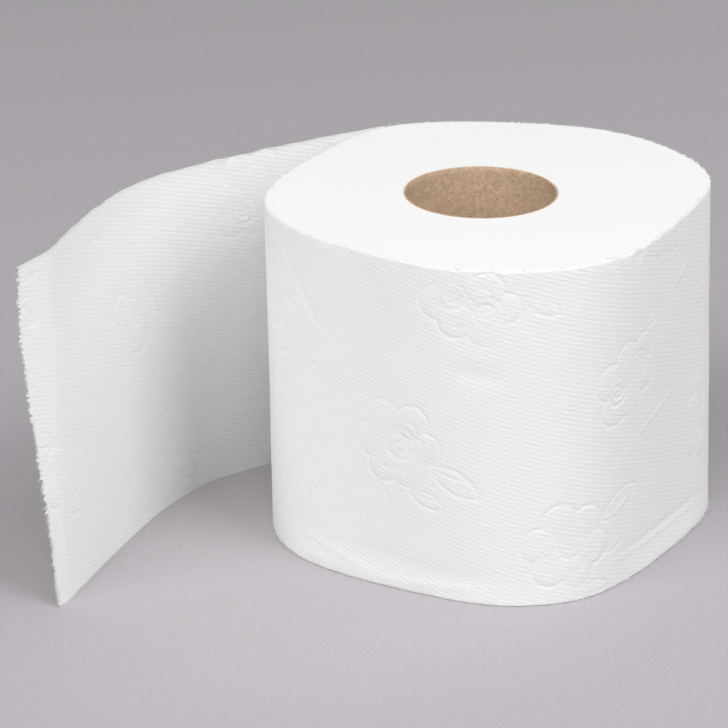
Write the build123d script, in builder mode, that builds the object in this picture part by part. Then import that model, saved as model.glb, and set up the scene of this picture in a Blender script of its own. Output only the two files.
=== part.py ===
# Toilet paper roll with a loose end, standing on its foot, in millimetres.
# +Z runs up the core's axis from the surface that the roll stands on, and -Y faces the viewer.
# Plan directions are degrees anticlockwise from +X, and the web is wound anticlockwise outwards.

from build123d import *
import os
from math import cos, hypot, radians, sin, sqrt

os.makedirs("parts", exist_ok=True)

# The paper and the core it is wound on
roll_height = 95.0
core_bore = 40.4
core_wall = 0.6
paper_thickness = 0.4

# The outline: a circle a little off the core's axis, which leans towards the foot
roll_radius = 61.3
centre_top = (2.5, 1.0)
centre_foot = (4.4, 1.5)

# Flats left by the neighbours in the pack: the direction they face and how far they are pressed in
flats_top = [(-129, 4.3), (-25, 4.6), (151, 6.6), (85, 0.3)]
flats_foot = [(-120, 7.8), (-30, 6.1), (151, 6.6), (85, 0.3)]
corner_sharpness = 16
outline_steps = 36

# The loose end: where it peels off, the length of its bends, and the turn of each in degrees
peel_top = 115
peel_foot = 111
peel_wedge = 3
bend_lengths = (57.0, 10.0, 27.0)
loose_length = 155.6
turns_top = (9.0, 1.0, 28.0, 11.2)
turns_foot = (18.7, 15.7, 12.6, 5.1)
flap_top = 16.2
flap_foot = 5.4
flap_fold = 19

# The torn perforation: how far it bows out between its corners, and the tags left along it
tear_bow = 1.4
tag_pitch = 3.2
tag_width = 1.2
tag_reach = 0.7

# The line between the turns, a spiral channel in both end faces
shown_turns = 5
channel_width = 0.4
channel_depth = 0.4
channel_margin = 2.5
channel_facets = 20

core_radius = core_bore / 2 + core_wall


def outline_radius(direction, centre, flats):
    """Distance from the core's axis to the pressed outline"""
    angle = radians(direction)
    offset = centre[0] * cos(angle) + centre[1] * sin(angle)
    circle = offset + sqrt(roll_radius**2 - hypot(*centre) ** 2 + offset**2)
    closeness = circle**-corner_sharpness
    for facing, pressed in flats:
        slope = max(cos(angle - radians(facing)), 0)
        closeness += (slope / (roll_radius - pressed)) ** corner_sharpness
    return closeness ** (-1 / corner_sharpness)


def outline_point(direction, centre, flats, proud=0.0):
    """Plan point at a direction, standing proud of the outline"""
    radius = outline_radius(direction, centre, flats) + proud
    return Vector(radius * cos(radians(direction)), radius * sin(radians(direction)))


def heading_at(direction, centre, flats):
    """Unit vector along the outline, the way the web is wound"""
    ahead = outline_point(direction + 1, centre, flats)
    return (ahead - outline_point(direction - 1, centre, flats)).normalized()


def end_plan(height, peel, centre, flats, turns, flap_length):
    """Closed plan at one end: once round the roll, out along the loose end and back inside it"""
    peeling = heading_at(peel, centre, flats).rotate(Axis.Z, -peel_wedge)
    inwards = peeling.rotate(Axis.Z, 90) * paper_thickness
    root = outline_point(peel, centre, flats, paper_thickness)
    around = [root + inwards]
    for step in range(1, outline_steps):
        part = step / outline_steps
        around.append(outline_point(peel + 360 * part, centre, flats, paper_thickness * part))
    around.append(root)
    lengths = (*bend_lengths, loose_length - sum(bend_lengths) - flap_length)
    with BuildSketch(Plane.XY.offset(height)) as plan:
        with BuildLine():
            Spline(*around)
            start, heading = root, peeling
            for length, turn in zip(lengths, turns):
                bend = JernArc(start, heading, length / radians(turn), turn)
                start, heading = bend @ 1, bend % 1
            fold_heading = heading.rotate(Axis.Z, -flap_fold)
            corner = start + fold_heading * flap_length
            inner_corner = corner + fold_heading.rotate(Axis.Z, 90) * paper_thickness
            Line(start, corner)
            Line(corner, inner_corner)
            start, heading = root + inwards, peeling
            for length, turn in zip(lengths, turns):
                bend = JernArc(start, heading, length / radians(turn) - paper_thickness, turn)
                start, heading = bend @ 1, bend % 1
            Line(start, inner_corner)
        make_face()
    return plan.sketch, corner + Vector(0, 0, height), fold_heading


def turn_line(height, peel, centre, flats):
    """Thin faceted spiral in an end face, from beside the core to just inside the outline"""
    start_radius = core_radius + channel_margin
    near, far = [], []
    for step in range(shown_turns * channel_facets + 1):
        part = step / (shown_turns * channel_facets)
        direction = peel + 360 * shown_turns * (part - 1)
        end_radius = outline_radius(direction, centre, flats) - channel_margin
        radius = start_radius + part * (end_radius - start_radius)
        along = Vector(cos(radians(direction)), sin(radians(direction)))
        near.append(along * (radius - channel_width / 2))
        far.append(along * (radius + channel_width / 2))
    with BuildSketch(Plane.XY.offset(height)) as line:
        with BuildLine():
            Polyline(*near, *reversed(far), close=True)
        make_face()
    return line.sketch


def torn_away(foot_corner, top_corner, outwards):
    """What the tear took off the end of the sheet, leaving pointed tags between the slits"""
    edge = top_corner - foot_corner

    def on_tear(along, reach):
        """Point on the bowed tear, or standing out of it"""
        return along, reach - tag_reach - tear_bow * (2 * along / edge.length - 1) ** 2

    line = [on_tear(-tag_pitch, 0)]
    for tag in range(int(edge.length / tag_pitch)):
        place = tag_pitch * (tag + 0.6 + 0.25 * sin(5 * tag))
        reach = tag_reach * (0.7 + 0.3 * sin(3 * tag))
        line += [on_tear(place - tag_width / 2, 0), on_tear(place, reach), on_tear(place + tag_width / 2, 0)]
    line += [on_tear(edge.length + tag_pitch, 0), (edge.length + tag_pitch, tag_pitch), (-tag_pitch, tag_pitch)]
    with BuildSketch(Plane(origin=foot_corner, x_dir=edge, z_dir=edge.cross(outwards))) as waste:
        with BuildLine():
            Polyline(*line, close=True)
        make_face()
    return waste.sketch


foot_plan, foot_corner, foot_heading = end_plan(0, peel_foot, centre_foot, flats_foot, turns_foot, flap_foot)
top_plan, top_corner, top_heading = end_plan(roll_height, peel_top, centre_top, flats_top, turns_top, flap_top)
with BuildPart() as tissue:
    loft(sections=[foot_plan, top_plan], ruled=True)
    with BuildSketch():
        Circle(core_radius)
    extrude(amount=roll_height, mode=Mode.SUBTRACT)
    foot_line = turn_line(0, peel_foot, centre_foot, flats_foot)
    extrude(foot_line, amount=channel_depth, dir=(0, 0, 1), mode=Mode.SUBTRACT)
    top_line = turn_line(roll_height, peel_top, centre_top, flats_top)
    extrude(top_line, amount=channel_depth, dir=(0, 0, -1), mode=Mode.SUBTRACT)
    torn = torn_away(foot_corner, top_corner, foot_heading + top_heading)
    extrude(torn, amount=tag_pitch, both=True, mode=Mode.SUBTRACT)

tissue.part.label = "tissue"
export_step(tissue.part, "parts/tissue.step")

with BuildPart() as core:
    with BuildSketch():
        Circle(core_radius)
        Circle(core_bore / 2, mode=Mode.SUBTRACT)
    extrude(amount=roll_height)

core.part.label = "core"
export_step(core.part, "parts/core.step")
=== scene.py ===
"""Looks of a roll of embossed toilet tissue with a loose end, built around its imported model.

The scene is in metres. Numbers on the paper are in mm, as in the part's own source, and become metres where a
mesh is made. The web coordinate s runs along the paper: 0 where the loose end leaves the roll, below 0 back
round the roll and above 0 out along the loose end. Directions in plan are anticlockwise from +X.
"""

from math import cos, pi, radians, sin, tau

import bpy
import numpy as np
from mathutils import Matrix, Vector


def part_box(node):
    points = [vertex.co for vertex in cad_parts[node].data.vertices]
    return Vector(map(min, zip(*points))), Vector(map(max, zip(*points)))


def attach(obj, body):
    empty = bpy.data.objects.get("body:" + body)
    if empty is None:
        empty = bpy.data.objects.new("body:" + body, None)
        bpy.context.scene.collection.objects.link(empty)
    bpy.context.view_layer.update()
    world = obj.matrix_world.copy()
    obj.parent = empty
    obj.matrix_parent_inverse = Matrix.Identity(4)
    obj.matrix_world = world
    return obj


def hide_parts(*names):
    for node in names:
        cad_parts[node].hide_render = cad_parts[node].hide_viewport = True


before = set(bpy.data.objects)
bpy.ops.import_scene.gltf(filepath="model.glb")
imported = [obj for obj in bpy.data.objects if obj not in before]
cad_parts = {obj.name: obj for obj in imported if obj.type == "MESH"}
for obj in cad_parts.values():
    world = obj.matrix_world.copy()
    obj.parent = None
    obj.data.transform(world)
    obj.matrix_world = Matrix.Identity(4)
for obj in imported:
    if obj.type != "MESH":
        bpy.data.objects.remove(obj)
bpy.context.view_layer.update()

bl_info = {
    "name": "Toilet paper roll",
    "version": (1, 0, 0),
    "blender": (4, 5, 0),
    "location": "View3D > Sidebar > Roll",
    "description": "Builds an embossed toilet paper roll with a loose end",
    "category": "Add Mesh",
}

MM = 0.001
core_low, core_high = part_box("core")

# Each end of the roll: where the loose end peels off, where the outline's centre lies off the core's axis, the
# flats pressed into it as facing and depth, the turns of the loose end's bends and the length of its flap
FOOT = {
    "peel": 111,
    "centre": (4.4, 1.5),
    "flats": ((-120, 7.8), (-30, 6.1), (151, 6.6), (85, 0.3)),
    "turns": (18.7, 15.7, 12.6, 5.1),
    "flap": 5.4,
}
TOP = {
    "peel": 115,
    "centre": (2.5, 1.0),
    "flats": ((-129, 4.3), (-25, 4.6), (151, 6.6), (85, 0.3)),
    "turns": (9.0, 1.0, 28.0, 11.2),
    "flap": 16.2,
}
CORNER_SHARPNESS = 16

# The loose end: three bends, a fourth that takes up what is left of the length, and the flap
BEND_LENGTHS = (57.0, 10.0, 27.0)
FLAP = 4
FLAP_FOLD = 19.0
PEEL_WEDGE = 3.0
LOOSE_LENGTH = 155.6
TAG_PITCH = 3.2

# The pressed pattern, in mm: a flower on the outer and on the inner ply, the steps from one flower to the next,
# how far one reaches, and the half width of its lines on each ply
OUTER_ORIGIN = (-224, 84)
INNER_ORIGIN = (93, 57)
COLUMN_STEP = (49, -26)
ROW_STEP = (-18, -42)
FLOWER_REACH = 30
OUTER_LINE = 0.36
INNER_LINE = 0.6

# Buds and petals as middle and size, leaves as foot, length and heading, in mm from a flower's middle
FLOWER_KINDS = (
    {
        "buds": ((-4.5, 3.0, 4.4), (5.0, -1.0, 4.6)),
        "petals": (
            (-8.0, 1.0, 5.0), (-3.0, -3.5, 5.0), (5.0, -5.5, 5.0),
            (-3.5, 7.5, 5.0), (4.5, 5.5, 4.8), (10.0, 0.5, 4.2),
        ),
        "leaves": ((14.5, 3.5, 11.0, -0.5),),
    },
    {
        "buds": ((0.5, 0.5, 5.2),),
        "petals": (
            (-7.5, 0.5, 5.2), (-4.5, 7.5, 5.0), (4.0, 7.5, 4.8),
            (8.0, 0.5, 4.6), (3.5, -6.5, 5.0), (-4.0, -6.5, 4.6),
        ),
        "leaves": ((10.0, -4.0, 16.0, -0.5), (-6.5, -11.5, 9.0, -1.1), (4.0, -12.5, 11.0, -0.3)),
    },
)

# Place, height, half length, half width, rise and heading of each crease, in mm and degrees
CREASES = (
    (-159.4, 44.0, 11.0, 0.4, 0.18, 16.7),
    (-176.0, 36.5, 7.0, 0.7, 0.08, 30.0),
    (-146.3, 78.9, 4.8, 0.4, 0.18, 25.6),
    (-174.6, 23.6, 4.5, 0.5, 0.16, 25.0),
    (-150.0, 7.4, 24.0, 0.6, 0.08, -0.5),
    (-150.0, 9.2, 24.0, 0.9, -0.18, -0.5),
    (-146.0, 0.0, 24.0, 5.0, 0.80, 1.0),
    (-262.0, 6.4, 13.0, 1.2, 0.12, -12.0),
    (-228.0, 3.6, 14.0, 1.2, 0.12, 4.0),
    (-240.0, 8.6, 26.0, 2.2, -0.10, -4.0),
    (-238.0, 1.5, 36.0, 3.0, 0.30, -2.0),
    (-220.8, 65.5, 7.0, 2.6, -0.20, -10.0),
    (-278.5, 82.0, 15.0, 1.4, -0.16, -49.0),
    (-174.4, 93.2, 1.8, 1.6, -0.30, -20.0),
    (-128.3, 22.0, 10.0, 0.4, 0.20, 88.0),
    (145.5, 17.0, 8.0, 1.0, -0.35, 75.0),
    (86.0, 50.0, 16.0, 1.3, 0.10, 84.0),
)

# Fibres: their shape, the lowest place for one, how many to a mm of cut edge and how many on the torn edge
FIBRE_RADIUS = 0.08
FIBRE_RINGS = 4
FIBRE_FOOT = 0.25
CUT_FIBRES = 2.5
TORN_FIBRES = 320

# Edges that turn more than this stay sharp
SHARP_ANGLE = radians(50)

# Name, place in metres, width in metres and power in watts of each lamp, and the point that all of them face
LAMPS = (
    ("key", (-1.1, -1.1, 1.2), 1.2, 15.7),
    ("high", (-0.3, -1.3, 1.9), 1.2, 16.0),
    ("high_right", (0.9, -0.9, 1.6), 0.8, 11.4),
    ("right", (1.25, -1.25, 0.9), 0.8, 5.3),
    ("behind_right", (1.3, 0.1, 1.3), 1.2, 6.6),
)
LAMP_AIM = (0, 0, 0.05)
WORLD_STRENGTH = 0.225

# The camera fitted to the outline: its focal length and picture width are in pixels
CAMERA_PLACE = (-0.031390, -1.138499, 0.500383)
CAMERA_DIP = 21.79
FOCAL_LENGTH = 4500
PICTURE_WIDTH = 728
SENSOR_WIDTH = 36


class RollSizes(bpy.types.PropertyGroup):
    """Sizes of the roll and of its loose end"""

    height: bpy.props.FloatProperty(
        name="Height", description="Width of the web", default=core_high.z - core_low.z, unit="LENGTH"
    )
    core_radius: bpy.props.FloatProperty(
        name="Core radius", description="Outside of the core", default=core_high.x, unit="LENGTH"
    )
    bore_radius: bpy.props.FloatProperty(
        name="Bore radius", description="Inside of the core", default=0.0202, unit="LENGTH"
    )
    radius: bpy.props.FloatProperty(
        name="Roll radius", description="Radius before the roll is squeezed", default=0.0613, unit="LENGTH"
    )
    paper: bpy.props.FloatProperty(
        name="Paper thickness", description="Thickness of the two plies", default=0.0004, unit="LENGTH"
    )
    loose_length: bpy.props.FloatProperty(
        name="Loose length", description="Length of the loose end", default=LOOSE_LENGTH * MM, unit="LENGTH"
    )
    rim: bpy.props.FloatProperty(
        name="Rim", description="Rounding of the roll's top edge", default=0.0005, unit="LENGTH"
    )
    foot_rim: bpy.props.FloatProperty(
        name="Foot rim", description="Rounding of the roll's foot edge", default=0.00025, unit="LENGTH"
    )
    grid: bpy.props.FloatProperty(
        name="Grid", description="Spacing of the points on the outer sheets", default=0.0004, unit="LENGTH"
    )


class TissueLook(bpy.types.PropertyGroup):
    """Colour and relief of the tissue"""

    colour: bpy.props.FloatVectorProperty(
        name="Colour", description="Colour of the tissue", subtype="COLOR", size=3, default=(0.90, 0.90, 0.893)
    )
    rib_pitch: bpy.props.FloatProperty(
        name="Rib pitch", description="Distance between the fine ribs", default=0.00124, unit="LENGTH"
    )
    rib_depth: bpy.props.FloatProperty(
        name="Rib depth", description="Height of the fine ribs", default=0.00003, unit="LENGTH"
    )
    rib_slope: bpy.props.FloatProperty(
        name="Rib slope", description="Lean of the ribs across the web", default=radians(17), subtype="ANGLE"
    )
    emboss_depth: bpy.props.FloatProperty(
        name="Emboss depth", description="Depth of the pressed flower lines", default=0.0002, unit="LENGTH"
    )
    sheet_length: bpy.props.FloatProperty(
        name="Sheet length", description="Distance between tear lines", default=0.1418, unit="LENGTH"
    )


class BoardLook(bpy.types.PropertyGroup):
    """Colour and winding of the core board"""

    colour: bpy.props.FloatVectorProperty(
        name="Colour", description="Colour of the board", subtype="COLOR", size=3, default=(0.585, 0.432, 0.299)
    )
    ply_width: bpy.props.FloatProperty(
        name="Ply width", description="Width of the strip that the core is wound from", default=0.06,
        unit="LENGTH",
    )


class StageLook(bpy.types.PropertyGroup):
    """Colours of the floor: near is a painted pool of light before the roll, far is the floor beyond it"""

    # Painted light: the paler near colour stands in for a pool of light on the floor before the roll
    near: bpy.props.FloatVectorProperty(
        name="Near", description="Floor in front of the roll", subtype="COLOR", size=3,
        default=(0.493, 0.47, 0.495),
    )
    far: bpy.props.FloatVectorProperty(
        name="Far", description="Floor away from it", subtype="COLOR", size=3, default=(0.464, 0.442, 0.470)
    )


def outline_radius(angle, end, roll_radius):
    """Distance from the core's axis to the pressed outline, as the part's source shapes it"""
    centre = end["centre"]
    offset = centre[0] * np.cos(angle) + centre[1] * np.sin(angle)
    circle = offset + np.sqrt(roll_radius**2 - centre[0] ** 2 - centre[1] ** 2 + offset**2)
    closeness = circle**-CORNER_SHARPNESS
    for facing, pressed in end["flats"]:
        slope = np.maximum(np.cos(angle - radians(facing)), 0)
        closeness = closeness + (slope / (roll_radius - pressed)) ** CORNER_SHARPNESS
    return closeness ** (-1 / CORNER_SHARPNESS)


def outline_point(angle, end, roll_radius, proud):
    """Plan points on the outline, standing proud of it"""
    radius = outline_radius(angle, end, roll_radius) + proud
    return np.stack([radius * np.cos(angle), radius * np.sin(angle)], -1)


def round_the_roll(part, end, size):
    """Plan points of the outer turn, for part 0 under the loose end to part 1 where it leaves"""
    angle = radians(end["peel"]) + tau * part
    return outline_point(angle, end, size.radius / MM, size.paper / MM * part)


def along_loose_end(place, end, size):
    """Plan points and headings of the loose end's outer side, for places in bends from 0 to 5"""
    radius = size.radius / MM
    start = outline_point(radians(end["peel"]), end, radius, size.paper / MM)
    ahead = outline_point(radians(end["peel"] + 1), end, radius, 0)
    behind = outline_point(radians(end["peel"] - 1), end, radius, 0)
    heading = np.arctan2(*(ahead - behind)[::-1]) - radians(PEEL_WEDGE)
    last_bend = size.loose_length / MM - sum(BEND_LENGTHS) - end["flap"]
    lengths = (*BEND_LENGTHS, last_bend, end["flap"])
    turns = (*end["turns"], 0.0)
    points = np.zeros((len(place), 2))
    headings = np.zeros(len(place))
    for number, (length, turn) in enumerate(zip(lengths, turns)):
        whole = radians(turn)
        furthest = 1
        if number == FLAP:
            heading -= radians(FLAP_FOLD)
            furthest = 1.2
        here = place >= number
        share = np.clip(place[here] - number, 0, furthest)
        turned = whole * share
        mean = heading + turned / 2
        chord = length * share * np.sinc(turned / tau)
        points[here] = start + chord[:, None] * np.stack([np.cos(mean), np.sin(mean)], -1)
        headings[here] = heading + turned
        middle = heading + whole / 2
        start = start + length * np.sinc(whole / tau) * np.array([cos(middle), sin(middle)])
        heading += whole
    return points, headings


def smoothed(rows, passes):
    """Rows of points smoothed along their first axis with the ends held"""
    rows = rows.copy()
    for _ in range(passes):
        rows[1:-1] = (rows[:-2] + 2 * rows[1:-1] + rows[2:]) / 4
    return rows


def flowers(origin):
    """Places of the pressed flowers on one ply: s and height, which kind, and its turn"""
    placed = []
    for column in range(-10, 12):
        for row in range(-8, 9):
            place = origin[0] + COLUMN_STEP[0] * column + ROW_STEP[0] * row
            level = origin[1] + COLUMN_STEP[1] * column + ROW_STEP[1] * row
            if -400 < place < 180 and 6 < level < 107:
                turn = 0.9 * column + 2.1 * (row - row % 2)
                placed.append((place, level, FLOWER_KINDS[row % 2], turn))
    return placed


def groove(distance, width):
    """Depth from 0 to 1 of a soft line, by the distance from it"""
    return np.exp(-((distance / width) ** 2))


def petal_edge(u, v, petals, share=1.0):
    """Distance outside the joined outline of round petals"""
    return np.min([np.hypot(u - share * x, v - share * y) - share * r for x, y, r in petals], axis=0)


def bud_spiral(u, v, x, y, size, line):
    """Depth of the spiral line in a bud"""
    pitch = 0.45 * size
    away = np.hypot(u - x, v - y)
    turns = away / pitch - np.arctan2(v - y, u - x) / tau
    from_middle = np.clip(away / 0.8, 0, 1)
    return groove((turns - np.round(turns)) * pitch, line) * (away < size) * from_middle


def leaf_lines(u, v, x, y, length, heading, line):
    """Depth of a pointed leaf's outline and midrib"""
    along = (u - x) * cos(heading) + (v - y) * sin(heading)
    across = (v - y) * cos(heading) - (u - x) * sin(heading)
    width = 0.38 * length
    bow = (length**2 + width**2) / (4 * width)
    sides = [np.hypot(along - length / 2, across + side * (bow - width / 2)) for side in (-1, 1)]
    in_leaf = np.abs(along - 0.45 * length) < 0.34 * length
    midrib = groove(across - 0.02 * along**2, line) * in_leaf
    return np.maximum(groove(np.maximum(*sides) - bow, line), 0.6 * midrib)


def pressed_flower(u, v, kind, turn, depth, line):
    """Height of one flower, u along the web and v up it from its middle"""
    u, v = u * cos(turn) + v * sin(turn), v * cos(turn) - u * sin(turn)
    outside = petal_edge(u, v, kind["petals"])
    inside = petal_edge(u, v, kind["petals"], 0.62)
    broken = np.sin(3 * np.arctan2(v, u) + turn) > -0.3
    lines = [groove(outside, line), 0.55 * groove(inside, line) * broken]
    lines += [1.2 * bud_spiral(u, v, *bud, line) for bud in kind["buds"]]
    lines += [leaf_lines(u, v, *leaf, line) for leaf in kind["leaves"]]
    pressure = np.clip(0.62 + 0.6 * np.sin(u / 3.7 + turn) * np.sin(v / 4.3 - 2 * turn), 0.05, 1.1)
    puffed = 0.35 * np.clip(-outside / 2.5, 0, 1)
    return depth * (puffed - pressure * np.max(lines, axis=0))


def creases(s, z):
    """Height of the dents, ridges and folds that handling leaves"""
    height = np.zeros(np.broadcast(s, z).shape)
    for place, level, half_length, half_width, rise, heading in CREASES:
        slope = radians(heading)
        along = (s - place) * cos(slope) + (z - level) * sin(slope)
        across = (z - level) * cos(slope) - (s - place) * sin(slope)
        height += rise * np.exp(-((along / half_length) ** 4) - (across / half_width) ** 2)
    return height


def soft_relief(s, z):
    """Height in mm of the creases and of three sets of slow waves on the web"""
    height = creases(s, z)
    height += 0.12 * np.sin(s / 17 + z / 29 + 0.6) * np.sin(z / 21 + 0.4)
    height += 0.07 * np.sin(s / 8.3 - z / 13) * np.cos(z / 15 + s / 40)
    return height + 0.03 * np.sin(s / 4.1 + z / 6.5) * np.sin(z / 9 + s / 23)


def relief(s, z, look, origin, depth, line):
    """Height in mm of all that is pressed into the web, for one ply's flowers"""
    s, z = np.broadcast_arrays(s, z)
    height = soft_relief(s, z)
    for place, level, kind, turn in flowers(origin):
        near = (np.abs(s - place) < FLOWER_REACH) & (np.abs(z - level) < FLOWER_REACH)
        if near.any():
            height[near] += pressed_flower(s[near] - place, z[near] - level, kind, turn, depth, line)
    sheet = look.sheet_length / MM
    from_tear = np.mod(s - LOOSE_LENGTH + sheet / 2, sheet) - sheet / 2
    slits = 0.55 + 0.45 * np.sign(np.sin(tau * z / TAG_PITCH))
    return height - 0.1 * groove(from_tear, 0.45) * slits


def ragged(s):
    """Small unevenness of the cut edge, by the place along the web"""
    waves = 0.45 * np.sin(s / 2.9) + 0.35 * np.sin(s / 1.37 + 1) + 0.4 * np.sin(s / 6.1 + 2) * np.sin(s / 23)
    return waves * (0.6 + 0.4 * np.sin(s / 11))


def torn_edge(level, across, generator):
    """How far the torn edge stands out at each height, with a tooth between each two slits"""
    teeth = np.zeros(len(level))
    tooth = 0.8
    while tooth < level[-1]:
        wide = generator.uniform(0.22, 0.5)
        teeth += generator.uniform(0.2, 0.95) * groove(level - tooth, wide)
        tooth += generator.uniform(0.8, 1.7)
    rough = generator.uniform(-0.16, 0.16, len(level))
    longer_low = 1.8 - 0.8 * across
    bowed = -0.75 - 1.4 * (2 * across - 1) ** 2
    waves = 1.2 * groove(across - 0.78, 0.2) - 1.5 * groove(across - 0.15, 0.2)
    return bowed + waves + (teeth + rough) * longer_low


def turn_length(size):
    """Parts of the outer turn, and the length of web from its start to each"""
    part = np.linspace(0, 1, 721)
    middle = (round_the_roll(part, FOOT, size) + round_the_roll(part, TOP, size)) / 2
    return part, np.concatenate([[0], np.cumsum(np.hypot(*np.diff(middle, axis=0).T))])


def roll_wall(s, level, size):
    """Plan points of the wound web and the way out from it, for places before the loose end"""
    parts, along = turn_length(size)
    share = (level / (size.height / MM))[None, :, None]

    def wall(part):
        foot, top = (round_the_roll(part, end, size)[:, None] for end in (FOOT, TOP))
        return foot * (1 - share) + top * share

    part = np.interp(s + along[-1], along, parts)
    ahead = wall(part + 0.001) - wall(part - 0.001)
    out = np.stack([ahead[..., 1], -ahead[..., 0]], -1)
    return wall(part), out / np.linalg.norm(out, axis=-1, keepdims=True)


def rim_profile(size, rows):
    """Heights of rows over the web with its rounded cut edges, and how far each row is drawn in"""
    height, foot, top = size.height / MM, size.foot_rim / MM, size.rim / MM
    run = np.linspace(0, height + (foot + top) * (pi / 2 - 1), rows)
    left = run[-1] - run
    foot_bend, top_bend = np.minimum(run / foot, pi / 2), np.minimum(left / top, pi / 2)
    up = foot * (1 - np.cos(foot_bend)) + np.maximum(run - foot * pi / 2, 0)
    down = top * (1 - np.cos(top_bend)) + np.maximum(left - top * pi / 2, 0)
    level = np.where(run < left, up, height - down)
    return level, foot * (1 - np.sin(foot_bend)) + top * (1 - np.sin(top_bend))


def new_piece(name, points, faces, material, web=None):
    """A closed piece from points in mm and faces, with the web coordinates of its points"""
    mesh = bpy.data.meshes.new(name)
    mesh.from_pydata((points * MM).tolist(), [], faces)
    mesh.validate()
    mesh.polygons.foreach_set("use_smooth", [True] * len(mesh.polygons))
    mesh.set_sharp_from_angle(angle=SHARP_ANGLE)
    if web is not None:
        attribute = mesh.attributes.new("web", "FLOAT_VECTOR", "POINT")
        attribute.data.foreach_set("vector", (web * MM).ravel())
    mesh.update()
    piece = bpy.data.objects.new(name, mesh)
    bpy.context.scene.collection.objects.link(piece)
    mesh.materials.append(material)
    return piece


def grid_faces(number):
    """Faces between the points of a numbered grid"""
    corners = (number[:-1, :-1], number[1:, :-1], number[1:, 1:], number[:-1, 1:])
    return np.stack([corner.ravel() for corner in corners], -1)


def ring_faces(number):
    """Faces between the points of a numbered grid that closes on itself both ways"""
    return grid_faces(np.pad(number, (0, 1), mode="wrap")).tolist()


def border_of(number):
    """The numbers round a grid's edge"""
    return np.concatenate([number[:-1, 0], number[-1, :-1], number[:0:-1, -1], number[0, :0:-1]]).tolist()


def thick_sheet(name, fine, through, s, side, every, material):
    """A closed sheet of paper: a fine face, and through it a face with one point for each few

    The side is 1 where the fine face looks out from the roll, and -1 where it looks in.
    """
    coarse = fine[::every, ::every].copy()
    coarse[..., :2] += through[::every, ::every]
    number = np.arange(fine[..., 0].size).reshape(fine.shape[:2])
    behind = fine[..., 0].size + np.arange(coarse[..., 0].size).reshape(coarse.shape[:2])
    faces = grid_faces(number).tolist() + grid_faces(behind)[:, ::-1].tolist()
    long_way, short_way = border_of(number), border_of(behind)
    for place in range(len(short_way)):
        cut = [long_way[(place * every + step) % len(long_way)] for step in range(every, -1, -1)]
        faces.append([*cut, short_way[place], short_way[(place + 1) % len(short_way)]])
    if side < 0:
        faces = [face[::-1] for face in faces]
    webs = []
    for grid, along in ((fine, s * side), (coarse, -s[::every] * side)):
        along = np.broadcast_to(along[:, None], grid.shape[:2])
        webs.append(np.stack([along, grid[..., 2], np.zeros(along.shape)], -1).reshape(-1, 3))
    points = np.concatenate([fine.reshape(-1, 3), coarse.reshape(-1, 3)])
    piece = new_piece(name, points, faces, material, np.concatenate(webs))
    finish_piece(piece, ["tissue"])


def add_fibres(name, roots, outs, generator, material):
    """A piece of fine curved fibres standing on roots along outs, each a closed three-sided spike"""
    up = np.array([0.0, 0.0, 1.0])
    points, faces = [], []
    for root, out in zip(roots, outs):
        side = np.cross(out, up)
        curl = generator.uniform(-0.5, 0.5, 3) * np.linalg.norm(out)
        first = len(points)
        for ring in range(FIBRE_RINGS):
            share = ring / FIBRE_RINGS
            centre = root + out * share + curl * share * (1 - share)
            radius = FIBRE_RADIUS * (1 - 0.8 * share)
            across = radius * side / np.linalg.norm(side)
            for turn in (0, tau / 3, 2 * tau / 3):
                points.append(centre + cos(turn) * across + sin(turn) * radius * up)
        tip = len(points)
        points.append(root + out)
        for corner in range(first, tip):
            beside = corner + 1 if (corner - first) % 3 < 2 else corner - 2
            if corner < tip - 3:
                faces += [(beside, corner, beside + 3), (corner, corner + 3, beside + 3)]
            else:
                faces.append((beside, corner, tip))
        faces.append((first, first + 1, first + 2))
    piece = new_piece(name, np.array(points), faces, material)
    finish_piece(piece, ["tissue"])


class Socket:
    """A number's socket in a node tree, for sums written as Python expressions"""

    def __init__(self, shader, output):
        self.shader = shader
        self.output = output

    def math(self, operation, *values):
        """The result of a Math node on this number and the others"""
        return self.shader.math(operation, self, *values)

    def __add__(self, other):
        return self.math("ADD", other)

    __radd__ = __add__

    def __sub__(self, other):
        return self.math("SUBTRACT", other)

    def __rsub__(self, other):
        return self.shader.math("SUBTRACT", other, self)

    def __mul__(self, other):
        return self.math("MULTIPLY", other)

    __rmul__ = __mul__

    def __truediv__(self, other):
        return self.math("DIVIDE", other)

    def __rtruediv__(self, other):
        return self.shader.math("DIVIDE", other, self)

    def clamped(self):
        """The number held between 0 and 1"""
        return self.math("MAXIMUM", 0.0).math("MINIMUM", 1.0)


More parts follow.
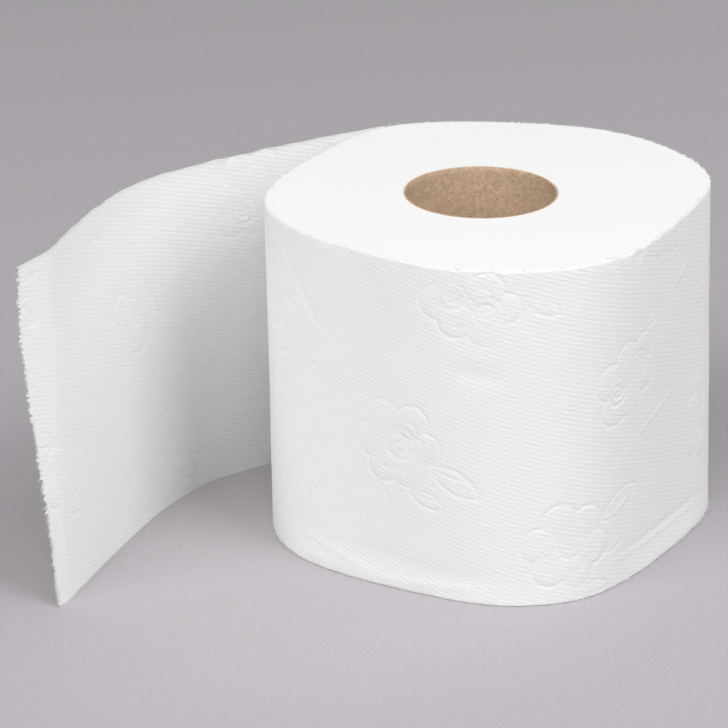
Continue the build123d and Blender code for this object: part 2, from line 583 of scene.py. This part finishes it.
class Shader:
    """A material's node tree"""

    def __init__(self, name):
        self.material = bpy.data.materials.new(name)
        self.material.use_nodes = True
        self.tree = self.material.node_tree
        self.tree.nodes.clear()
        self.surface = self.node("ShaderNodeBsdfPrincipled", {})
        self.node("ShaderNodeOutputMaterial", {}, Surface=self.surface.outputs["BSDF"])

    def join(self, value, socket):
        """Links a value to a socket, or sets the socket to a plain one"""
        if isinstance(value, Socket):
            value = value.output
        if isinstance(value, bpy.types.NodeSocket):
            self.tree.links.new(value, socket)
        else:
            socket.default_value = value

    def node(self, kind, settings, *values, **named):
        """A node with its settings, and values or links for its sockets"""
        node = self.tree.nodes.new(kind)
        for key, value in settings.items():
            setattr(node, key, value)
        for key, value in [*enumerate(values), *named.items()]:
            self.join(value, node.inputs[key])
        return node

    def math(self, operation, *values):
        """The result of a Math node"""
        return Socket(self, self.node("ShaderNodeMath", {"operation": operation}, *values).outputs[0])

    def place(self):
        """The place on the surface, in metres"""
        return self.node("ShaderNodeTexCoord", {}).outputs["Object"]

    def web(self):
        """The place on the web, in metres along it and up it"""
        return self.node("ShaderNodeAttribute", {"attribute_name": "web"}).outputs["Vector"]

    def parts(self, vector):
        """The three numbers of a vector"""
        return [Socket(self, part) for part in self.node("ShaderNodeSeparateXYZ", {}, vector).outputs]

    def joined(self, *parts):
        """A vector from three numbers"""
        return self.node("ShaderNodeCombineXYZ", {}, *parts).outputs[0]

    def stretched(self, vector, scales):
        """The vector with each part multiplied"""
        return self.node("ShaderNodeVectorMath", {"operation": "MULTIPLY"}, vector, scales).outputs["Vector"]

    def noise(self, vector, scale, detail=2.0, roughness=0.5):
        """Noise at a number of cells to the metre"""
        sockets = {"Vector": vector, "Scale": scale, "Detail": detail, "Roughness": roughness}
        node = self.node("ShaderNodeTexNoise", {"noise_dimensions": "3D"}, **sockets)
        return Socket(self, node.outputs["Fac"])

    def mix(self, factor, first, second):
        """A colour between two"""
        node = self.node("ShaderNodeMix", {"data_type": "RGBA"}, factor)
        first_colour, second_colour, mixed = node.inputs[6], node.inputs[7], node.outputs[2]
        for value, socket in ((first, first_colour), (second, second_colour)):
            self.join(value if isinstance(value, bpy.types.NodeSocket) else (*value, 1), socket)
        return mixed

    def finish(self, colour, height, distance, roughness, shine):
        """The material, with its colour and with bumps of a height, in metres for a height of 1"""
        bump = self.node("ShaderNodeBump", {}, Strength=1.0, Distance=distance, Height=height)
        for name, value in (
            ("Base Color", colour),
            ("Normal", bump.outputs["Normal"]),
            ("Roughness", roughness),
            ("Specular IOR Level", shine),
        ):
            self.join(value, self.surface.inputs[name])
        return self.material


def shade(colour, factor):
    """A darker or paler shade of a colour"""
    return [min(1, part * factor) for part in colour]


def tissue_material(name, look, depth):
    """Creped tissue: fine broken ribs round the roll, crinkles across them, fibres, and painted shade that
    darkens the lit top edge
    """
    shader = Shader(name)
    vector = shader.web()
    s, z, _ = shader.parts(vector)
    drift = shader.noise(vector, 45.0, 1.0)
    wobble = shader.noise(vector, 500.0)
    across = z * cos(look.rib_slope) + s * sin(look.rib_slope)
    ribs = (across * (tau / look.rib_pitch) + drift * 3.0 + wobble * 4.0).math("SINE")
    patches = (shader.noise(vector, 400.0, 3.0, 0.6) * 3.4 - 1.2).clamped()
    crinkles = shader.noise(shader.stretched(vector, (1.0, 0.8, 1.0)), 1700.0, 3.0, 0.7)
    fibres = shader.noise(vector, 3600.0, 2.0, 0.6)
    height = ribs * (patches + 0.12) + crinkles * 4.5 + fibres * 3.0
    paper = shader.mix(crinkles * 0.5 + patches * 0.5, shade(look.colour, 0.985), shade(look.colour, 1.01))
    # Painted shade: the colour darkens near the top edge, so the rim that catches the light is no brighter than
    # the cut face
    rim_shade_start, rim_shade_width = 0.0941, 0.0005
    painted_rim_shade = ((z - rim_shade_start) * (1 / rim_shade_width)).clamped()
    colour = shader.mix(painted_rim_shade, paper, shade(look.colour, 0.93))
    return shader.finish(colour, height, look.rib_depth * depth, 0.92, 0.15)


def cut_face_material(look):
    """The cut ends of the turns: close rings round the core, softened by fibres"""
    shader = Shader("cut_turns")
    vector = shader.place()
    x, y, _ = shader.parts(vector)
    radius = (x * x + y * y).math("SQRT")
    turns = shader.noise(shader.joined(x / radius * 3.0, y / radius * 3.0, radius * 2600.0), 1.0, 2.0, 0.6)
    bands = shader.noise(shader.joined(x / radius, y / radius, radius * 420.0), 1.0, 1.0)
    fibres = shader.noise(vector, 2600.0, 3.0, 0.65)
    colour = shader.mix(turns * 0.6 + fibres * 0.4, shade(look.colour, 0.945), shade(look.colour, 0.975))
    return shader.finish(colour, turns * 0.8 + bands * 0.5 + fibres, 0.00006, 0.95, 0.1)


def board_material(look):
    """Unbleached board: mottled brown with pale flecks"""
    shader = Shader("core_board")
    vector = shader.place()
    mottle = shader.noise(vector, 850.0, 4.0, 0.65)
    flecks = shader.noise(shader.stretched(vector, (1.0, 1.0, 1.8)), 2100.0, 3.0, 0.7)
    base = shader.mix((mottle * 2.4 - 0.7).clamped(), shade(look.colour, 0.68), shade(look.colour, 1.24))
    colour = shader.mix((flecks * 4.0 - 1.6).clamped() * 0.5, base, shade(look.colour, 1.25))
    return shader.finish(colour, mottle * 0.8 + flecks * 0.8, 0.0002, 0.85, 0.2)


def floor_material(look):
    """Matt paper floor with fine specks, and a painted pool of light: a little paler in a wide pool before the
    roll
    """
    shader = Shader("floor_paper")
    vector = shader.place()
    x, y, _ = shader.parts(vector)
    # Painted light: the floor fades from the paler near colour in a pool before the roll to the far colour away
    # from it
    aside, ahead = x + 0.05, y + 0.055
    away = ((aside * aside + ahead * ahead) * 100.0).clamped()
    grain = shader.noise(vector, 1000.0, 3.0, 0.6)
    specks = (grain * 3.0 - 1.0).clamped() * 0.15
    colour = shader.mix(specks, shader.mix(away, look.near, look.far), (0.22, 0.2, 0.22))
    return shader.finish(colour, grain, 0.00012, 0.95, 0.1)


def finish_piece(piece, nodes):
    """The piece rides with the part and stands for CAD nodes"""
    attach(piece, "root")
    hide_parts(*nodes)


class OBJECT_OT_wound_roll(bpy.types.Operator):
    """Adds the wound turns as one closed body, with their cut ends"""

    bl_idname = "object.wound_roll"
    bl_label = "Wound roll"

    def execute(self, context):
        size = context.scene.roll_sizes
        look = context.scene.tissue_look
        height = size.height / MM
        columns, rows, rings = 260, 60, 26
        below_sheets, below_rims = 0.35, 0.1
        under = np.full(rows, below_sheets)
        under[[0, -1]] = below_rims
        parts, along = turn_length(size)
        s = (np.arange(columns) / columns - 1) * along[-1]
        level, drawn_in = rim_profile(size, rows)
        wall, out = roll_wall(s, level, size)
        lift = soft_relief(s[:, None], level[None]) - drawn_in - under
        level = np.broadcast_to(np.clip(level, below_rims, height - below_rims), lift.shape)
        outer = np.concatenate([wall + out * lift[..., None], level[..., None]], -1)
        angle = radians((FOOT["peel"] + TOP["peel"]) / 2) + tau * np.interp(s + along[-1], along, parts)
        inner = size.core_radius / MM * np.stack([np.cos(angle), np.sin(angle)], -1)
        steps = np.linspace(0, 1, rings + 1)[:-1]
        generator = np.random.default_rng(5)
        faces = []
        for edge, flat in ((outer[:, 0], 0), (outer[:, -1], height)):
            face = inner[:, None] + (edge[:, None, :2] - inner[:, None]) * steps[None, :, None]
            depth = 0.08 + 0.03 * np.sin(face[..., 0] / 6.1 + 1) * np.sin(face[..., 1] / 7.3)
            depth += 0.04 * generator.random(rings)
            faces.append(np.concatenate([face, np.abs(flat - depth)[..., None]], -1))
        points = np.concatenate([faces[0], outer, faces[1][:, ::-1]], 1)
        number = np.arange(points[..., 0].size).reshape(points.shape[:2])
        material = cut_face_material(look)
        piece = new_piece("wound_roll", points.reshape(-1, 3), ring_faces(number), material)
        finish_piece(piece, ["tissue"])
        return {"FINISHED"}


class OBJECT_OT_outer_sheets(bpy.types.Operator):
    """Adds the sheets of the outer turn, each from one tear line to the next"""

    bl_idname = "object.outer_sheets"
    bl_label = "Outer sheets"

    def execute(self, context):
        size = context.scene.roll_sizes
        look = context.scene.tissue_look
        material = tissue_material("creped_tissue", look, 0.78)
        height, grid, paper = size.height / MM, size.grid / MM, size.paper / MM
        every = 6
        ragged_reach, peel_reach, raggedness = 2.5, 6, 0.2
        start = -turn_length(size)[1][-1]
        tears = np.arange(LOOSE_LENGTH, start, -look.sheet_length / MM)
        ends = [0.0, *tears[tears < 0], start]
        generator = np.random.default_rng(23)
        roots, fibres = [], []
        for number, (last, first) in enumerate(zip(ends[:-1], ends[1:])):
            s = np.linspace(first, last, every * round((last - first) / grid / every) + 1)
            level, drawn_in = rim_profile(size, every * round(height / grid / every) + 1)
            wall, out = roll_wall(s, level, size)
            near_rim = np.clip(1 - np.minimum(level, height - level) / ragged_reach, 0, 1)
            rough = ragged(s)[:, None] * near_rim
            near_peel = np.clip(np.minimum(-s, s - start) / peel_reach, 0.3, 1)[:, None]
            pressed = relief(s[:, None], level[None], look, OUTER_ORIGIN, look.emboss_depth / MM, OUTER_LINE)
            lift = pressed * near_peel - raggedness * np.abs(rough) - drawn_in
            wall = wall + out * lift[..., None]
            level = level - raggedness * (rough + near_rim) * (level > height / 2) * near_rim
            outer = np.concatenate([wall, level[..., None]], -1)
            thick_sheet(f"outer_sheet_{number + 1}", outer, -out * paper, s, 1, every, material)
            for row, climb in ((0, 0.0), (-1, 0.35)):
                here = generator.integers(2, len(s) - 2, round((last - first) * CUT_FIBRES))
                lengths = generator.uniform(0.3, 1.0, len(here))[:, None]
                sway = generator.uniform(-0.5, 0.5, len(here))[:, None]
                heading = (outer[here + 1, row] - outer[here - 1, row]) / grid
                away = np.append(out[here, row], np.full((len(here), 1), climb), 1)
                outs = lengths * (away + sway * heading)
                roots.append(outer[here, row] - 0.15 * outs)
                fibres.append(outs)
        roots, outs = np.concatenate(roots), np.concatenate(fibres)
        roots[:, 2] = np.maximum(roots[:, 2], FIBRE_FOOT)
        add_fibres("edge_fibres", roots, outs, generator, material)
        return {"FINISHED"}


class OBJECT_OT_loose_end(bpy.types.Operator):
    """Adds the loose end, peeled off the roll and torn along its tear line"""

    bl_idname = "object.loose_end"
    bl_label = "Loose end"

    def execute(self, context):
        size = context.scene.roll_sizes
        look = context.scene.tissue_look
        height = size.height / MM
        length = size.loose_length / MM
        material = tissue_material("creped_loose_tissue", look, 0.85)
        columns, rows, every = 249, 290, 2
        flap = (FOOT["flap"] + TOP["flap"]) / 2
        lengths = [*BEND_LENGTHS, length - sum(BEND_LENGTHS) - flap, flap]
        reach = np.concatenate([[0], np.cumsum(lengths)])
        fine_part, fine_columns = 4, 12
        tear_reach, peel_reach, smoothing = 12, 10, 24
        s = np.concatenate([
            np.linspace(0, length - fine_part, columns - fine_columns + 1),
            np.linspace(length - fine_part, length, fine_columns)[1:],
        ])
        level = np.linspace(0, height, rows + 1)
        across = level / height
        generator = np.random.default_rng(11)
        tear = torn_edge(level, across, generator)
        blend = np.clip((s - length + tear_reach) / tear_reach, 0, 1) ** 2
        outer = np.zeros((len(s), rows + 1, 3))
        heading = np.zeros((len(s), rows + 1))
        for row, share in enumerate(across):
            here = s + tear[row] * blend
            place = np.interp(here, reach, np.arange(len(reach))) + np.maximum(here - length, 0) / flap
            foot, top = (along_loose_end(place, end, size) for end in (FOOT, TOP))
            outer[:, row, :2] = foot[0] * (1 - share) + top[0] * share
            heading[:, row] = foot[1] * (1 - share) + top[1] * share
        outer[..., :2] = smoothed(outer[..., :2], smoothing)
        outer[..., 2] = level
        heading = smoothed(heading, smoothing)
        inward = np.stack([-np.sin(heading), np.cos(heading)], -1)
        fade = np.clip(s / peel_reach, 0, 1)[:, None]
        depth = -0.85 * look.emboss_depth / MM
        lift = relief(s[:, None], level[None], look, INNER_ORIGIN, depth, INNER_LINE) * fade
        through = inward * (size.paper / MM)
        outer[..., :2] += through - inward * 0.8 * lift[..., None]
        outer[..., 2] += 0.3 * ragged(s + 40)[:, None] * np.clip(across * 12 - 11, 0, 1)
        thick_sheet("loose_end", outer, -through, s, -1, every, material)
        place = rows * generator.uniform(0.01, 0.995, TORN_FIBRES) ** 1.3
        away = np.append(np.mean(outer[-1] - outer[-4], axis=0)[:2], 0)
        away /= np.linalg.norm(away)
        roots = np.stack([np.interp(place, np.arange(rows + 1), outer[-1, :, way]) for way in range(3)], -1)
        lengths = generator.uniform(0.5, 1.2 + 0.9 * (1 - place / rows))
        sway = generator.uniform((-0.2, -0.2, -0.9), (0.2, 0.2, 0.9), (TORN_FIBRES, 3))
        outs = away * lengths[:, None] + sway
        add_fibres("torn_fibres", roots - away * 0.3, outs, generator, material)
        return {"FINISHED"}


class OBJECT_OT_core_tube(bpy.types.Operator):
    """Adds the spiral-wound core with its seam and rims"""

    bl_idname = "object.core_tube"
    bl_label = "Core tube"

    def execute(self, context):
        size = context.scene.roll_sizes
        height = size.height / MM
        inner, outer = size.bore_radius / MM, size.core_radius / MM
        ply = context.scene.board_look.ply_width / MM
        columns, rows = 180, 60
        rim, rim_slope = 0.12, 0.22
        angle = np.linspace(0, tau, columns, endpoint=False)[:, None]
        level = np.linspace(rim, height - rim, rows)
        to_seam = np.mod(level - angle / tau * ply, ply) - ply / 2
        bore = inner + 0.08 + 0.14 * groove(to_seam, 0.5) - 0.05 * np.tanh(to_seam / 0.3)
        mouth = np.full((columns, 1), inner + rim_slope)
        r = np.concatenate([mouth, bore, mouth, np.full((columns, 2), outer)], 1)
        z = np.concatenate([[0.0], level, [height, height, 0.0]])
        points = np.stack([r * np.cos(angle), r * np.sin(angle), np.broadcast_to(z, r.shape)], -1)
        number = np.arange(r.size).reshape(r.shape)
        material = board_material(context.scene.board_look)
        piece = new_piece("core_tube", points.reshape(-1, 3), ring_faces(number.T), material)
        finish_piece(piece, ["core"])
        return {"FINISHED"}


class SCENE_OT_studio(bpy.types.Operator):
    """Adds the floor, the soft lights and the camera"""

    bl_idname = "scene.studio"
    bl_label = "Studio"

    def execute(self, context):
        mesh = bpy.data.meshes.new("floor")
        mesh.from_pydata([(-3, -2, 0), (3, -2, 0), (3, 4, 0), (-3, 4, 0)], [], [(0, 1, 2, 3)])
        mesh.materials.append(floor_material(context.scene.stage_look))
        floor = bpy.data.objects.new("floor", mesh)
        context.scene.collection.objects.link(floor)
        for name, place, width, power in LAMPS:
            data = bpy.data.lights.new(name, "AREA")
            data.energy = power
            data.size = width
            lamp = bpy.data.objects.new(name, data)
            lamp.location = place
            away = Vector(place) - Vector(LAMP_AIM)
            lamp.rotation_euler = away.to_track_quat("Z", "Y").to_euler()
            context.scene.collection.objects.link(lamp)
        world = bpy.data.worlds.new("studio")
        world.use_nodes = True
        background = world.node_tree.nodes["Background"]
        background.inputs["Color"].default_value = (1, 1, 1, 1)
        background.inputs["Strength"].default_value = WORLD_STRENGTH
        context.scene.world = world
        camera_data = bpy.data.cameras.new("camera")
        camera_data.sensor_width = SENSOR_WIDTH
        camera_data.lens = SENSOR_WIDTH * FOCAL_LENGTH / PICTURE_WIDTH
        camera = bpy.data.objects.new("camera", camera_data)
        camera.location = CAMERA_PLACE
        camera.rotation_euler = (radians(90 - CAMERA_DIP), 0, 0)
        context.scene.collection.objects.link(camera)
        context.scene.camera = camera
        context.scene.view_settings.view_transform = "Standard"
        return {"FINISHED"}


class VIEW3D_PT_roll(bpy.types.Panel):
    """Lists the pieces and their sizes"""

    bl_idname = "VIEW3D_PT_roll"
    bl_label = "Toilet paper roll"
    bl_space_type = "VIEW_3D"
    bl_region_type = "UI"
    bl_category = "Roll"

    def draw(self, context):
        for name, group in GROUPS.items():
            for value in group.__annotations__:
                self.layout.prop(getattr(context.scene, name), value)
        for operator in OPERATORS:
            self.layout.operator(operator.bl_idname)


GROUPS = {
    "roll_sizes": RollSizes,
    "tissue_look": TissueLook,
    "board_look": BoardLook,
    "stage_look": StageLook,
}
OPERATORS = (
    OBJECT_OT_wound_roll,
    OBJECT_OT_outer_sheets,
    OBJECT_OT_loose_end,
    OBJECT_OT_core_tube,
    SCENE_OT_studio,
)


def register():
    """Adds the groups of values, the operators and the panel to Blender"""
    for name, group in GROUPS.items():
        bpy.utils.register_class(group)
        setattr(bpy.types.Scene, name, bpy.props.PointerProperty(type=group))
    for kind in (*OPERATORS, VIEW3D_PT_roll):
        bpy.utils.register_class(kind)


def unregister():
    """Takes them out again"""
    for kind in (*OPERATORS, VIEW3D_PT_roll):
        bpy.utils.unregister_class(kind)
    for name, group in GROUPS.items():
        delattr(bpy.types.Scene, name)
        bpy.utils.unregister_class(group)


def main():
    """Builds the roll and its stage"""
    register()
    bpy.ops.object.wound_roll()
    bpy.ops.object.outer_sheets()
    bpy.ops.object.loose_end()
    bpy.ops.object.core_tube()
    bpy.ops.scene.studio()


if __name__ == "__main__":
    main()
